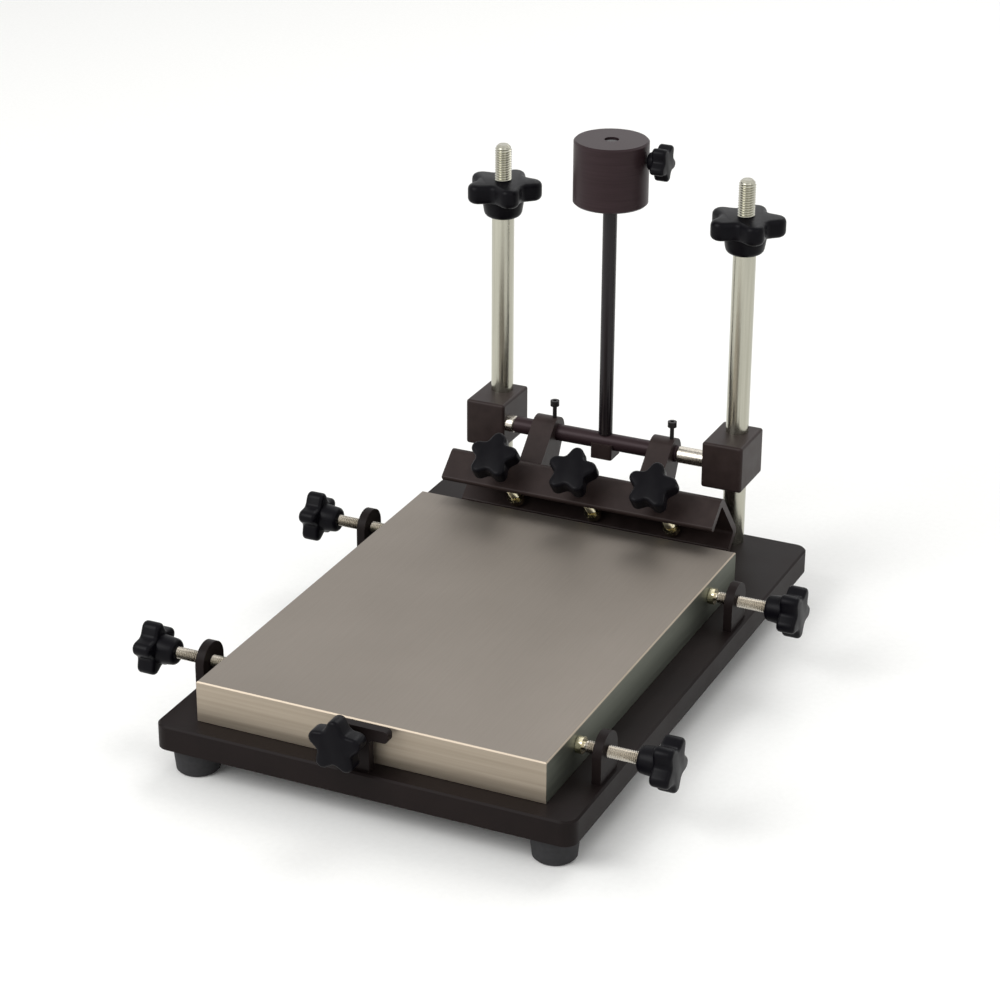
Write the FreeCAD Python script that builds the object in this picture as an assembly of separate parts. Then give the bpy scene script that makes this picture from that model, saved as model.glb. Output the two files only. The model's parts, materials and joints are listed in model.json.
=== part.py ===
import FreeCAD, Part
import math
import os
from FreeCAD import Placement, Rotation, Vector

# Tabletop screen printing press, in millimetres.
# X runs to the right, Y to the back and Z up. The origin lies on the surface that the press
# stands on, under the middle of the whole press.

# Fits and cuts
running_gap = 0.05      # radial play of every round piece in its bore
slide_gap = 0.3         # play between flat faces that move past each other
cut_overrun = 2.0       # how far a cutting body reaches past the face that it opens

# Base plate and its feet
base_thickness = 17.0
base_side_margin = 24.0
base_front_margin = 15.0
base_back_margin = 88.0
base_corner_radius = 9.0
base_edge_chamfer = 1.2
foot_radius = 16.0
foot_tip_radius = 14.0
foot_height = 20.0
foot_edge = 1.5
foot_inset = 20.0
foot_recess_radius = 5.2
foot_recess_depth = 8.0
foot_screw_radius = 2.5
foot_screw_head_radius = 4.5
foot_screw_head_height = 3.0
foot_screw_grip = 10.0

# Print table
table_width = 240.0
table_length = 320.0
table_thickness = 28.0
table_edge_chamfer = 0.8

# Side adjusters: bracket, screw, tip pad and star knob
adjuster_places = (47.0, 271.0)
adjuster_drop = 11.0
adjuster_screw_radius = 4.0
adjuster_nose_radius = 2.5
adjuster_nose_length = 2.3
adjuster_pad_radius = 5.5
adjuster_pad_thickness = 4.0
bracket_standoff = 15.0
bracket_thickness = 6.0
bracket_width = 26.0
bracket_screw_spacing = 14.0
bracket_screw_radius = 2.0
bracket_screw_head_radius = 3.5
bracket_screw_head_height = 4.0
bracket_screw_grip = 10.0
bracket_screw_recess = 6.0
side_knob_standoff = 20.0
side_knob_reach = 18.0
side_knob_thickness = 13.0
side_knob_hub_length = 12.0
side_knob_hub_radius = 8.5

# Front adjuster
front_adjuster_offset = -7.0
front_adjuster_drop = 5.0
front_screw_radius = 3.0
front_nose_radius = 1.5
front_nose_length = 1.0
front_pad_radius = 4.0
front_pad_thickness = 2.2
front_bracket_standoff = 5.0
front_bracket_thickness = 6.0
front_bracket_stem = 22.0
front_bracket_left = 8.0
front_bracket_right = 27.0
front_bracket_head = 8.0
front_bracket_rise = 2.0
front_bracket_corner_radius = 3.0
front_knob_standoff = 2.5
front_knob_hub_length = 5.0

# Columns and their star knobs
column_spacing = 182.0
column_setback = 74.0
column_radius = 8.0
column_depth = 12.0
column_shoulder_rise = 189.0
column_top_rise = 242.0
column_end_radius = 6.0
column_chamfer = 1.5
column_knob_reach = 27.5
column_knob_thickness = 14.0
column_knob_hub_length = 13.0
column_knob_hub_radius = 13.0

# Slide blocks, pivot pins and hinge shaft
hinge_setback = 52.0
hinge_rise = 41.0
block_width = 30.0
block_front = 8.0
block_back = 35.0
block_above = 16.0
block_below = 18.0
block_edge_radius = 2.0
block_screw_radius = 3.0
block_screw_sink = 0.5
pin_radius = 6.0
pin_depth = 14.0
pin_nose_radius = 3.0
pin_nose_length = 8.0
pin_chamfer = 0.8
left_pin_reach = 6.0
right_pin_reach = 20.0
shaft_radius = 6.0
shaft_chamfer = 0.6

# Swing arms
arm_spacing = 90.0
arm_width = 17.0
arm_hub_radius = 11.0
arm_foot_above = 9.0
arm_foot_below = 25.0
arm_screw_radius = 1.5
arm_screw_stand = 9.0
arm_screw_shift = 5.5
arm_screw_head_radius = 3.2
arm_screw_head_height = 4.0

# Frame clamp, modelled level and then turned down to its rest angle
rest_tilt = 40.0
clamp_length = 206.0
clamp_back_reach = 33.0
clamp_above = 16.0
clamp_below = 34.0
clamp_wall = 5.0
clamp_upper_depth = 26.0
clamp_lower_depth = 20.0
clamp_outer_radius = 5.0
clamp_inner_radius = 2.5
clamp_lip_radius = 1.5
clamp_screw_places = (-60.0, 0.0, 60.0)
clamp_screw_inset = 13.0
clamp_screw_radius = 4.0
clamp_nose_radius = 2.5
clamp_nose_length = 3.0
clamp_pad_radius = 6.2
clamp_pad_thickness = 5.0
clamp_pad_rise = 3.0
clamp_knob_standoff = 6.0
clamp_knob_reach = 18.0
clamp_knob_thickness = 13.0
clamp_knob_hub_length = 8.0
clamp_knob_hub_radius = 8.0

# Counterweight and its rod
rod_radius = 5.0
rod_length = 222.0
rod_tenon_radius = 3.0
rod_chamfer = 0.8
saddle_width = 16.0
saddle_depth = 17.0
saddle_wall = 5.0
saddle_edge_radius = 1.5
weight_radius = 26.0
weight_height = 45.0
weight_edge_chamfer = 1.2
weight_top_gap = 1.0
weight_screw_rise = 11.0
weight_screw_radius = 2.5
weight_knob_standoff = 1.5
weight_knob_reach = 13.0
weight_knob_thickness = 10.0
weight_knob_hub_length = 5.0
weight_knob_hub_radius = 6.0

# Shape of every star knob, as shares of its reach from the axis to a lobe's tip
lobe_count = 5
lobe_radius_share = 0.28
valley_radius_share = 0.24
knob_chamfer_share = 0.1
hub_flare_share = 1.25
knob_socket_share = 0.5

# Heights and depths that follow from the sizes above
base_width = table_width + 2 * base_side_margin
base_top = foot_height + base_thickness
table_bottom = base_top + slide_gap
table_top = table_bottom + table_thickness
front_knob_reach = (front_bracket_standoff + front_bracket_thickness + front_knob_standoff
                    + front_knob_hub_length + side_knob_thickness)
back_reach = table_length + column_setback + column_knob_reach
table_front = (front_knob_reach - back_reach) / 2
table_back = table_front + table_length
base_front = table_front - base_front_margin
base_back = table_back + base_back_margin
column_y = table_back + column_setback
column_shoulder = table_top + column_shoulder_rise
column_top = table_top + column_top_rise
hinge_y = table_back + hinge_setback
hinge_z = table_top + hinge_rise
block_inner = (column_spacing - block_width) / 2
clamp_screw_y = hinge_y - clamp_back_reach - clamp_screw_inset
clamp_top = hinge_z + clamp_above
clamp_bottom = hinge_z - clamp_below
rod_top = hinge_z + rod_length
weight_top = rod_top + weight_top_gap
weight_middle = weight_top - weight_height / 2

os.makedirs("parts", exist_ok=True)


def save(name, shape):
    """Write one piece of the press to its own file."""
    shape.exportStep("parts/" + name + ".step")


def box(low, high):
    size = high - low
    return Part.makeBox(size.x, size.y, size.z, low)


def rod(radius, start, end):
    """Round bar between two points."""
    return Part.makeCylinder(radius, (end - start).Length, start, end - start)


def turned(outline):
    """Solid of revolution about Z from points given as radius and height."""
    points = [Vector(radius, 0, height) for radius, height in outline]
    return Part.Face(Part.makePolygon(points + points[:1])).revolve(
        Vector(0, 0, 0), Vector(0, 0, 1), 360)


def aimed(shape, origin, direction, turn=0):
    """Copy of a shape whose Z axis is laid along a direction from a point."""
    placed = shape.copy()
    aim = Rotation(Vector(0, 0, 1), direction) * Rotation(Vector(0, 0, 1), turn)
    placed.Placement = Placement(origin, aim)
    return placed


def prism(outline, width, middle_x):
    """Profile drawn in the YZ plane, given its width along X."""
    face = Part.Face(Part.Wire(outline))
    face.translate(Vector(middle_x - width / 2, 0, 0))
    return face.extrude(Vector(width, 0, 0))


def line(start, end):
    return Part.LineSegment(start, end).toShape()


def arc(start, middle, end):
    return Part.Arc(start, middle, end).toShape()


def rounded(shape, radius, wanted):
    """Round the edges of a shape for which the test holds."""
    return shape.makeFillet(radius, [edge for edge in shape.Edges if wanted(edge)])


def runs_along(edge, axis):
    """Whether a straight edge lies along an axis."""
    if not isinstance(edge.Curve, Part.Line):
        return False
    return abs(abs(edge.Curve.Direction.dot(axis)) - 1) < 1e-6


def star(reach, thickness):
    """Lobed body of a star knob, standing on the XY plane."""
    lobe_radius = reach * lobe_radius_share
    valley_radius = reach * valley_radius_share
    centre_distance = reach - lobe_radius
    touch = lobe_radius + valley_radius
    half_step = math.pi / lobe_count
    inward = math.sqrt(touch ** 2 - (centre_distance * math.sin(half_step)) ** 2)
    valley_distance = centre_distance * math.cos(half_step) + inward
    edges = []
    for index in range(lobe_count):
        lobe_way = Vector(math.cos(2 * index * half_step), math.sin(2 * index * half_step), 0)
        before = Vector(math.cos((2 * index - 1) * half_step), math.sin((2 * index - 1) * half_step), 0)
        after = Vector(math.cos((2 * index + 1) * half_step), math.sin((2 * index + 1) * half_step), 0)
        onward = Vector(math.cos((2 * index + 2) * half_step), math.sin((2 * index + 2) * half_step), 0)
        lobe = lobe_way * centre_distance
        start = lobe + (before * valley_distance - lobe) * (lobe_radius / touch)
        end = lobe + (after * valley_distance - lobe) * (lobe_radius / touch)
        next_lobe = onward * centre_distance
        next_start = next_lobe + (after * valley_distance - next_lobe) * (lobe_radius / touch)
        edges.append(arc(start, lobe_way * reach, end))
        edges.append(arc(end, after * (valley_distance - valley_radius), next_start))
    body = Part.Face(Part.Wire(edges)).extrude(Vector(0, 0, thickness))
    rims = [edge for edge in body.Edges if abs(edge.BoundBox.ZLength) < 1e-6]
    return body.makeChamfer(reach * knob_chamfer_share, rims)


def star_knob(reach, thickness, hub_length, hub_radius, bore_radius, bore_depth):
    """Star knob on its flared hub, with the hub's free end at the origin and the star outward."""
    flare = hub_radius * hub_flare_share
    hub = turned([(0, 0), (hub_radius, 0), (flare, hub_length), (flare, hub_length + thickness / 2),
                  (0, hub_length + thickness / 2)])
    body = star(reach, thickness)
    body.translate(Vector(0, 0, hub_length))
    bore = rod(bore_radius, Vector(0, 0, -cut_overrun), Vector(0, 0, bore_depth))
    return body.fuse(hub).removeSplitter().cut(bore)


def tip_pad(radius, thickness, nose_radius, nose_length):
    """Swivel pad with its pressing face at the origin and its socket facing outward."""
    floor = thickness - nose_length - slide_gap
    bore = nose_radius + running_gap
    return turned([(0, 0), (radius, 0), (radius, thickness), (bore, thickness), (bore, floor), (0, floor)])


def pointed_screw(radius, nose_radius, nose_length, length):
    """Plain screw with a reduced nose that turns in its pad. The nose's tip is at the origin."""
    shoulder = nose_length + slide_gap
    step = radius - nose_radius
    return turned([(0, 0), (nose_radius, 0), (nose_radius, shoulder), (radius, shoulder + step / 2),
                   (radius, length), (0, length)])


def headed_screw(radius, length, head_radius, head_height):
    """Cap screw with the underside of its head at the origin and its shank along Z."""
    return turned([(0, -head_height), (head_radius, -head_height), (head_radius, 0), (radius, 0),
                   (radius, length), (0, length)])


def foot_places():
    """Centres of the four feet on the underside of the base plate."""
    across = base_width / 2 - foot_inset
    return [Vector(side * across, y, foot_height)
            for y in (base_front + foot_inset, base_back - foot_inset) for side in (-1, 1)]


def side_adjuster_places():
    """Side and Y place of each side adjuster's axis."""
    return [(side, table_front + place) for place in adjuster_places for side in (-1, 1)]


def bracket_screw_places():
    """Feet of all the screws that hold the brackets, on the base plate's upper face."""
    side_x = table_width / 2 + bracket_standoff + bracket_thickness / 2
    front_x = front_adjuster_offset - front_bracket_left + front_bracket_stem / 2
    front_y = table_front - front_bracket_standoff - front_bracket_thickness / 2
    half = bracket_screw_spacing / 2
    places = [Vector(side * side_x, y + step, base_top)
              for side, y in side_adjuster_places() for step in (-half, half)]
    return places + [Vector(front_x + step, front_y, base_top) for step in (-half, half)]


def make_base():
    """Base plate with bores for the columns, the foot screws and the bracket screws."""
    half = base_width / 2
    plate = box(Vector(-half, base_front, foot_height), Vector(half, base_back, base_top))
    plate = rounded(plate, base_corner_radius, lambda edge: runs_along(edge, Vector(0, 0, 1)))
    upper = [edge for edge in plate.Edges if abs(edge.BoundBox.ZMin - base_top) < 1e-6]
    plate = plate.makeChamfer(base_edge_chamfer, upper)
    for side in (-1, 1):
        centre = Vector(side * column_spacing / 2, column_y, 0)
        plate = plate.cut(rod(column_radius + running_gap, centre + Vector(0, 0, base_top - column_depth),
                              centre + Vector(0, 0, base_top + cut_overrun)))
    for place in foot_places():
        plate = plate.cut(rod(foot_screw_radius + running_gap, place - Vector(0, 0, cut_overrun),
                              place + Vector(0, 0, foot_screw_grip)))
    for place in bracket_screw_places():
        under = Vector(place.x, place.y, foot_height)
        plate = plate.cut(rod(bracket_screw_radius + running_gap, under, place + Vector(0, 0, cut_overrun)))
        plate = plate.cut(rod(bracket_screw_head_radius + slide_gap, under - Vector(0, 0, cut_overrun),
                              under + Vector(0, 0, bracket_screw_recess)))
    return plate


def make_feet():
    """Tapered rubber feet, each with a recess for its screw's head."""
    foot = turned([(0, 0), (foot_tip_radius - foot_edge, 0), (foot_tip_radius, foot_edge),
                   (foot_radius, foot_height), (0, foot_height)])
    foot = foot.cut(rod(foot_recess_radius, Vector(0, 0, -cut_overrun), Vector(0, 0, foot_recess_depth)))
    foot = foot.cut(rod(foot_screw_radius + running_gap, Vector(0, 0, 0),
                        Vector(0, 0, foot_height + cut_overrun)))
    for index, place in enumerate(foot_places()):
        save("rubber_foot_%d" % (index + 1), aimed(foot, Vector(place.x, place.y, 0), Vector(0, 0, 1)))


def make_foot_screws():
    """Screws that hold the feet, driven up from their recesses."""
    length = foot_height - foot_recess_depth + foot_screw_grip
    screw = headed_screw(foot_screw_radius, length, foot_screw_head_radius, foot_screw_head_height)
    return Part.makeCompound([aimed(screw, Vector(place.x, place.y, foot_recess_depth), Vector(0, 0, 1))
                              for place in foot_places()])


def make_table():
    """Flat ground print table with a fine chamfer round its upper edge."""
    half = table_width / 2
    table = box(Vector(-half, table_front, table_bottom), Vector(half, table_back, table_top))
    upper = [edge for edge in table.Edges if abs(edge.BoundBox.ZMin - table_top) < 1e-6]
    return table.makeChamfer(table_edge_chamfer, upper)


def make_side_bracket(side, y):
    """Upright plate on the base, its top rounded about the bore for the adjusting screw."""
    middle_x = side * (table_width / 2 + bracket_standoff + bracket_thickness / 2)
    half = bracket_width / 2
    axis = Vector(middle_x, y, table_top - adjuster_drop)
    sheet = Vector(bracket_thickness / 2, 0, 0)
    plate = box(Vector(middle_x, y - half, base_top) - sheet, axis + Vector(0, half, 0) + sheet)
    plate = plate.fuse(rod(half, axis - sheet, axis + sheet)).removeSplitter()
    across = sheet + Vector(cut_overrun, 0, 0)
    plate = plate.cut(rod(adjuster_screw_radius + running_gap, axis - across, axis + across))
    for step in (-bracket_screw_spacing / 2, bracket_screw_spacing / 2):
        foot = Vector(middle_x, y + step, base_top)
        plate = plate.cut(rod(bracket_screw_radius + running_gap, foot - Vector(0, 0, cut_overrun),
                              foot + Vector(0, 0, bracket_screw_grip)))
    return plate


def make_front_bracket():
    """Upright plate in front of the table, with an arm at its top that reaches to the right."""
    back = table_front - front_bracket_standoff
    front = back - front_bracket_thickness
    top = table_top + front_bracket_rise
    left = front_adjuster_offset - front_bracket_left
    right = front_adjuster_offset + front_bracket_right
    arm = box(Vector(left, front, top - front_bracket_head), Vector(right, back, top))
    stem = box(Vector(left, front, base_top), Vector(left + front_bracket_stem, back, top))
    plate = rounded(arm.fuse(stem).removeSplitter(), front_bracket_corner_radius,
                    lambda edge: runs_along(edge, Vector(0, 1, 0)) and edge.BoundBox.ZMin > base_top)
    axis = Vector(front_adjuster_offset, back, table_top - front_adjuster_drop)
    plate = plate.cut(rod(front_screw_radius + running_gap, axis + Vector(0, cut_overrun, 0),
                          axis - Vector(0, front_bracket_thickness + cut_overrun, 0)))
    for step in (-bracket_screw_spacing / 2, bracket_screw_spacing / 2):
        foot = Vector(left + front_bracket_stem / 2 + step, (front + back) / 2, base_top)
        plate = plate.cut(rod(bracket_screw_radius + running_gap, foot - Vector(0, 0, cut_overrun),
                              foot + Vector(0, 0, bracket_screw_grip)))
    return plate


def make_bracket_screws():
    """Cap screws driven up through the base plate into the brackets."""
    seat = foot_height + bracket_screw_recess
    length = base_top - seat + bracket_screw_grip
    screw = headed_screw(bracket_screw_radius, length, bracket_screw_head_radius, bracket_screw_head_height)
    return Part.makeCompound([aimed(screw, Vector(place.x, place.y, seat), Vector(0, 0, 1))
                              for place in bracket_screw_places()])


def make_side_adjusters():
    """Pads, screws and star knobs of the four side adjusters."""
    pad = tip_pad(adjuster_pad_radius, adjuster_pad_thickness, adjuster_nose_radius, adjuster_nose_length)
    pad_x = table_width / 2 + slide_gap
    nose_x = pad_x + adjuster_pad_thickness - adjuster_nose_length
    knob_x = table_width / 2 + bracket_standoff + bracket_thickness + side_knob_standoff
    socket = side_knob_hub_length + side_knob_thickness * knob_socket_share
    screw = pointed_screw(adjuster_screw_radius, adjuster_nose_radius, adjuster_nose_length,
                          knob_x + socket - nose_x)
    knob = star_knob(side_knob_reach, side_knob_thickness, side_knob_hub_length, side_knob_hub_radius,
                     adjuster_screw_radius + running_gap, socket)
    for index, (side, y) in enumerate(side_adjuster_places()):
        way = Vector(side, 0, 0)
        axis = Vector(0, y, table_top - adjuster_drop)
        save("adjuster_pad_%d" % (index + 1), aimed(pad, axis + way * pad_x, way))
        save("adjuster_screw_%d" % (index + 1), aimed(screw, axis + way * nose_x, way))
        save("adjuster_knob_%d" % (index + 1), aimed(knob, axis + way * knob_x, way))


def make_front_adjuster():
    """Pad, screw and star knob of the front adjuster."""
    way = Vector(0, -1, 0)
    axis = Vector(front_adjuster_offset, table_front, table_top - front_adjuster_drop)
    nose = slide_gap + front_pad_thickness - front_nose_length
    knob = front_bracket_standoff + front_bracket_thickness + front_knob_standoff
    socket = front_knob_hub_length + side_knob_thickness * knob_socket_share
    pad = tip_pad(front_pad_radius, front_pad_thickness, front_nose_radius, front_nose_length)
    screw = pointed_screw(front_screw_radius, front_nose_radius, front_nose_length, knob + socket - nose)
    grip = star_knob(side_knob_reach, side_knob_thickness, front_knob_hub_length, side_knob_hub_radius,
                     front_screw_radius + running_gap, socket)
    save("front_pad", aimed(pad, axis + way * slide_gap, way))
    save("front_screw", aimed(screw, axis + way * nose, way))
    save("front_knob", aimed(grip, axis + way * knob, way, 90))


def make_column(side):
    """Polished column with a smaller threaded end above its shoulder."""
    foot = base_top - column_depth
    shoulder = column_shoulder - foot
    top = column_top - foot
    bar = turned([(0, 0), (column_radius, 0), (column_radius, shoulder), (column_end_radius, shoulder),
                  (column_end_radius, top - column_chamfer), (column_end_radius - column_chamfer, top),
                  (0, top)])
    return aimed(bar, Vector(side * column_spacing / 2, column_y, foot), Vector(0, 0, 1))


def make_column_knob(side):
    """Large star knob screwed on the column's end, with the end standing out above it."""
    through = column_knob_hub_length + column_knob_thickness + cut_overrun
    knob = star_knob(column_knob_reach, column_knob_thickness, column_knob_hub_length,
                     column_knob_hub_radius, column_end_radius + running_gap, through)
    seat = Vector(side * column_spacing / 2, column_y, column_shoulder + slide_gap)
    return aimed(knob, seat, Vector(0, 0, 1), 90)


def make_slide_block(side):
    """Block that slides on the column and carries the pivot pin in its inner face."""
    middle = side * column_spacing / 2
    low = Vector(middle - block_width / 2, hinge_y - block_front, hinge_z - block_below)
    high = Vector(middle + block_width / 2, hinge_y + block_back, hinge_z + block_above)
    block = rounded(box(low, high), block_edge_radius, lambda edge: True)
    up = Vector(0, 0, cut_overrun)
    block = block.cut(rod(column_radius + running_gap, Vector(middle, column_y, low.z) - up,
                          Vector(middle, column_y, high.z) + up))
    face = Vector(side * block_inner, hinge_y, hinge_z)
    block = block.cut(rod(pin_radius + running_gap, face - Vector(side * cut_overrun, 0, 0),
                          face + Vector(side * pin_depth, 0, 0)))
    height = (low.z + high.z) / 2
    return block.cut(rod(block_screw_radius + running_gap, Vector(middle, column_y, height),
                         Vector(middle, high.y + cut_overrun, height)))


def make_block_screws():
    """Set screws that lock the slide blocks on the columns, sunk in the back faces."""
    start = column_y + column_radius + running_gap
    end = hinge_y + block_back - block_screw_sink
    height = hinge_z + (block_above - block_below) / 2
    return Part.makeCompound([rod(block_screw_radius, Vector(side * column_spacing / 2, start, height),
                                  Vector(side * column_spacing / 2, end, height)) for side in (-1, 1)])


def make_pivot_pin(side, reach):
    """Stepped pin fixed in the slide block, on which the shaft turns."""
    body = pin_depth + reach
    pin = turned([(0, 0), (pin_radius, 0), (pin_radius, body - pin_chamfer),
                  (pin_radius - pin_chamfer, body), (pin_nose_radius, body),
                  (pin_nose_radius, body + pin_nose_length), (0, body + pin_nose_length)])
    return aimed(pin, Vector(side * (block_inner + pin_depth), hinge_y, hinge_z), Vector(-side, 0, 0))


def make_shaft():
    """Hinge shaft with a bore in each end for a pivot pin and a cross hole for the rod."""
    left = -block_inner + left_pin_reach + slide_gap
    right = block_inner - right_pin_reach - slide_gap
    length = right - left
    inner = shaft_radius - shaft_chamfer
    bar = turned([(0, 0), (inner, 0), (shaft_radius, shaft_chamfer), (shaft_radius, length - shaft_chamfer),
                  (inner, length), (0, length)])
    bar = aimed(bar, Vector(left, hinge_y, hinge_z), Vector(1, 0, 0))
    for end, way in ((left, 1), (right, -1)):
        mouth = Vector(end - way * cut_overrun, hinge_y, hinge_z)
        bar = bar.cut(rod(pin_nose_radius + running_gap, mouth,
                          Vector(end + way * pin_nose_length, hinge_y, hinge_z)))
    up = Vector(0, 0, shaft_radius + cut_overrun)
    centre = Vector(0, hinge_y, hinge_z)
    return bar.cut(rod(rod_tenon_radius + running_gap, centre - up, centre + up))


def tilted(shape):
    """Turn a piece of the level clamp down about the hinge to its rest angle."""
    shape.rotate(Vector(0, hinge_y, hinge_z), Vector(1, 0, 0), rest_tilt)
    return shape


def make_arm(side):
    """Arm with a hub on the shaft and a broad foot against the clamp's back."""
    middle = side * arm_spacing / 2
    foot_y = hinge_y - clamp_back_reach
    top = Vector(0, foot_y, hinge_z + arm_foot_above)
    bottom = Vector(0, foot_y, hinge_z - arm_foot_below)
    hub_top = Vector(0, hinge_y, hinge_z + arm_hub_radius)
    hub_back = Vector(0, hinge_y + arm_hub_radius, hinge_z)
    hub_bottom = Vector(0, hinge_y, hinge_z - arm_hub_radius)
    arm = prism([line(top, hub_top), arc(hub_top, hub_back, hub_bottom), line(hub_bottom, bottom),
                 line(bottom, top)], arm_width, middle)
    arm = tilted(arm)
    centre = Vector(middle, hinge_y, hinge_z)
    across = Vector(arm_width / 2 + cut_overrun, 0, 0)
    arm = arm.cut(rod(shaft_radius + running_gap, centre - across, centre + across))
    screw = centre + Vector(arm_screw_shift, 0, 0)
    return arm.cut(rod(arm_screw_radius + running_gap, screw,
                       screw + Vector(0, 0, arm_hub_radius + cut_overrun)))


def make_arm_screws():
    """Small screws near the right edge of each arm's hub, which clamp it on the shaft."""
    bottom = hinge_z + shaft_radius + running_gap
    seat = hinge_z + arm_hub_radius + arm_screw_stand
    screw = headed_screw(arm_screw_radius, seat - bottom, arm_screw_head_radius, arm_screw_head_height)
    places = [Vector(side * arm_spacing / 2 + arm_screw_shift, hinge_y, seat) for side in (-1, 1)]
    return Part.makeCompound([aimed(screw, place, Vector(0, 0, -1)) for place in places])


def make_clamp():
    """Channel that holds the screen frame: back wall, upper flange and shorter lower flange."""
    back = hinge_y - clamp_back_reach
    upper = back - clamp_upper_depth
    lower = back - clamp_lower_depth
    low_inside = clamp_bottom + clamp_wall
    high_inside = clamp_top - clamp_wall
    inside = back - clamp_wall
    points = [Vector(0, back, clamp_top), Vector(0, upper, clamp_top), Vector(0, upper, high_inside),
              Vector(0, inside, high_inside), Vector(0, inside, low_inside), Vector(0, lower, low_inside),
              Vector(0, lower, clamp_bottom), Vector(0, back, clamp_bottom)]
    channel = prism(Part.makePolygon(points + points[:1]).Edges, clamp_length, 0)

    def at(edge, y):
        return runs_along(edge, Vector(1, 0, 0)) and abs(edge.BoundBox.YMin - y) < 1e-6

    channel = rounded(channel, clamp_outer_radius, lambda edge: at(edge, back))
    channel = rounded(channel, clamp_inner_radius, lambda edge: at(edge, inside))
    channel = rounded(channel, clamp_lip_radius, lambda edge: at(edge, upper) or at(edge, lower))
    for x in clamp_screw_places:
        channel = channel.cut(rod(clamp_screw_radius + running_gap,
                                  Vector(x, clamp_screw_y, high_inside - cut_overrun),
                                  Vector(x, clamp_screw_y, clamp_top + cut_overrun)))
    return tilted(channel)


def make_clamp_screws():
    """Pads, screws and star knobs that press the screen frame on the lower flange."""
    pad_z = clamp_bottom + clamp_wall + clamp_pad_rise
    nose_z = pad_z + clamp_pad_thickness - clamp_nose_length
    knob_z = clamp_top + clamp_knob_standoff
    socket = clamp_knob_hub_length + clamp_knob_thickness * knob_socket_share
    pad = tip_pad(clamp_pad_radius, clamp_pad_thickness, clamp_nose_radius, clamp_nose_length)
    screw = pointed_screw(clamp_screw_radius, clamp_nose_radius, clamp_nose_length, knob_z + socket - nose_z)
    knob = star_knob(clamp_knob_reach, clamp_knob_thickness, clamp_knob_hub_length, clamp_knob_hub_radius,
                     clamp_screw_radius + running_gap, socket)
    up = Vector(0, 0, 1)
    for index, x in enumerate(clamp_screw_places):
        save("clamp_pad_%d" % (index + 1), tilted(aimed(pad, Vector(x, clamp_screw_y, pad_z), up)))
        save("clamp_screw_%d" % (index + 1), tilted(aimed(screw, Vector(x, clamp_screw_y, nose_z), up)))
        save("clamp_knob_%d" % (index + 1), tilted(aimed(knob, Vector(x, clamp_screw_y, knob_z), up, 90)))


def make_weight_rod():
    """Upright rod whose tenon passes through the shaft into the saddle below."""
    tenon = 2 * shaft_radius + saddle_wall
    top = tenon + rod_length - shaft_radius
    bar = turned([(0, 0), (rod_tenon_radius, 0), (rod_tenon_radius, tenon), (rod_radius, tenon),
                  (rod_radius, top - rod_chamfer), (rod_radius - rod_chamfer, top), (0, top)])
    return aimed(bar, Vector(0, hinge_y, hinge_z - shaft_radius - saddle_wall), Vector(0, 0, 1))


def make_saddle():
    """Block hollowed to the shaft, which holds the rod's tenon from below."""
    half = Vector(saddle_width / 2, saddle_depth / 2, 0)
    centre = Vector(0, hinge_y, hinge_z)
    bottom = centre - Vector(0, 0, shaft_radius + saddle_wall)
    block = box(bottom - half, centre + half)
    block = rounded(block, saddle_edge_radius, lambda edge: runs_along(edge, Vector(0, 0, 1)))
    across = Vector(saddle_width / 2 + cut_overrun, 0, 0)
    block = block.cut(rod(shaft_radius + running_gap, centre - across, centre + across))
    return block.cut(rod(rod_tenon_radius + running_gap, bottom - Vector(0, 0, cut_overrun), centre))


def make_weight():
    """Round counterweight bored for the rod and, from the right, for its lock screw."""
    bore = rod_radius + running_gap
    edge = weight_radius - weight_edge_chamfer
    body = turned([(bore, 0), (edge, 0), (weight_radius, weight_edge_chamfer),
                   (weight_radius, weight_height - weight_edge_chamfer), (edge, weight_height),
                   (bore, weight_height)])
    body = aimed(body, Vector(0, hinge_y, weight_top - weight_height), Vector(0, 0, 1))
    axis = Vector(0, hinge_y, weight_middle + weight_screw_rise)
    return body.cut(rod(weight_screw_radius + running_gap, axis,
                        axis + Vector(weight_radius + cut_overrun, 0, 0)))


def make_weight_lock():
    """Lock screw of the counterweight, bearing on the rod, and its small star knob."""
    way = Vector(1, 0, 0)
    axis = Vector(0, hinge_y, weight_middle + weight_screw_rise)
    start = rod_radius + slide_gap
    knob_start = weight_radius + weight_knob_standoff
    socket = weight_knob_hub_length + weight_knob_thickness * knob_socket_share
    knob = star_knob(weight_knob_reach, weight_knob_thickness, weight_knob_hub_length,
                     weight_knob_hub_radius, weight_screw_radius + running_gap, socket)
    save("weight_lock_screw", rod(weight_screw_radius, axis + way * start, axis + way * (knob_start + socket)))
    save("weight_lock_knob", aimed(knob, axis + way * knob_start, way))


save("base_plate", make_base())
make_feet()
save("foot_screws", make_foot_screws())
save("print_table", make_table())
for number, (side, y) in enumerate(side_adjuster_places()):
    save("side_bracket_%d" % (number + 1), make_side_bracket(side, y))
save("front_bracket", make_front_bracket())
save("bracket_screws", make_bracket_screws())
make_side_adjusters()
make_front_adjuster()
for hand, side in (("left", -1), ("right", 1)):
    save("column_" + hand, make_column(side))
    save("column_knob_" + hand, make_column_knob(side))
    save("slide_block_" + hand, make_slide_block(side))
    save("swing_arm_" + hand, make_arm(side))
save("block_screws", make_block_screws())
save("pivot_pin_left", make_pivot_pin(-1, left_pin_reach))
save("pivot_pin_right", make_pivot_pin(1, right_pin_reach))
save("hinge_shaft", make_shaft())
save("arm_screws", make_arm_screws())
save("frame_clamp", make_clamp())
make_clamp_screws()
save("weight_rod", make_weight_rod())
save("rod_saddle", make_saddle())
save("counterweight", make_weight())
make_weight_lock()
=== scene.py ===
import json
import math
import bpy
from mathutils import Matrix, Vector


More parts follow.
